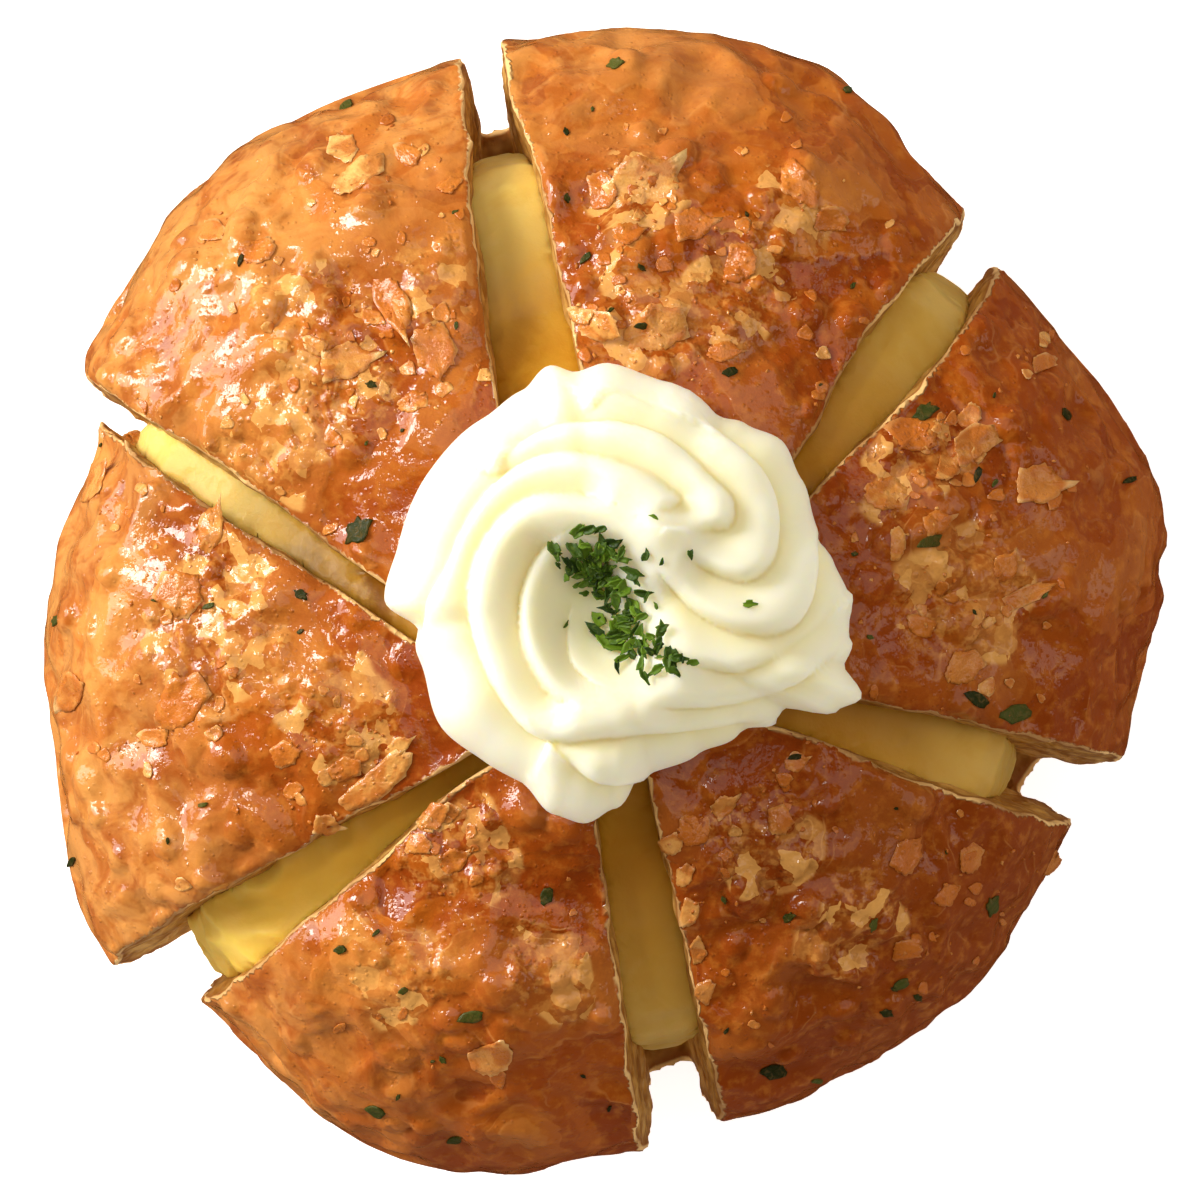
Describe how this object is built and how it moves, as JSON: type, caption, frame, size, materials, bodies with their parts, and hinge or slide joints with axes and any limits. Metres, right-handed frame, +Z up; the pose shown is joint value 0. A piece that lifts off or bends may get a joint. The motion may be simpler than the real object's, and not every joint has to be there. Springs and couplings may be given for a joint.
{
  "type": "cut round garlic bread",
  "caption": "Round garlic bread cut into wedges joined at the base, with cream piped into the cuts and a cream rosette with parsley on top.",
  "frame": {"origin": "middle of the flat underside", "axes": "+Z up through the rosette, +Y towards the top wedge as seen from above, +X to its right"},
  "size_m": [0.1203, 0.123, 0.0747],
  "materials": {
    "crust": "glossy baked crust with pale flakes and dried herb",
    "filling": "smooth pale yellow cream, satin",
    "rosette": "smooth off-white whipped cream, satin"
  },
  "bodies": {
    "root": {"bread": "crust", "cream_filling": "filling", "cream_rosette": "rosette"}
  },
  "joints": []
}
